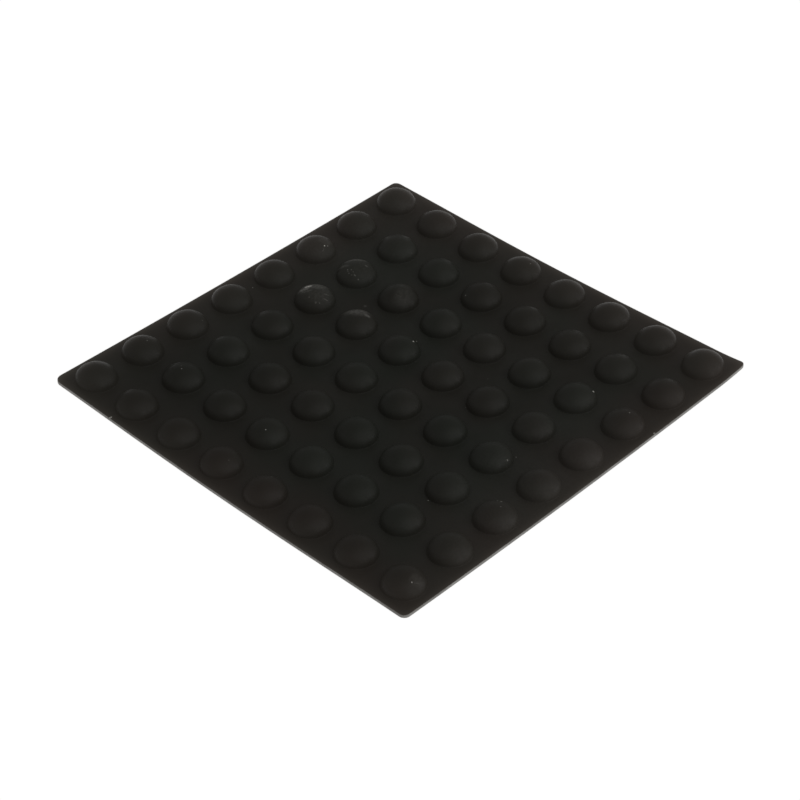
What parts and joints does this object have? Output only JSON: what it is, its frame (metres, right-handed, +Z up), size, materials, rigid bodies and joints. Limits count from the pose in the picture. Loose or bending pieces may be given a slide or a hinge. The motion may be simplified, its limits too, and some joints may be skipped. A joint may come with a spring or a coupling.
{
  "type": "rubber bumper sheet",
  "caption": "Thin square rubber web with a square grid of domed feet moulded in one piece, to stick on or to stop things sliding and scratching.",
  "frame": {"origin": "centre of the web's flat underside", "axes": "+Z up through the domes, X and Y along the square sheet's sides"},
  "size_m": [0.1064, 0.1064, 0.0042],
  "materials": {
    "black_rubber": "matt moulded, with dust and small scuffs on the domes"
  },
  "bodies": {
    "root": {"bumper_sheet": "black_rubber"}
  },
  "joints": []
}
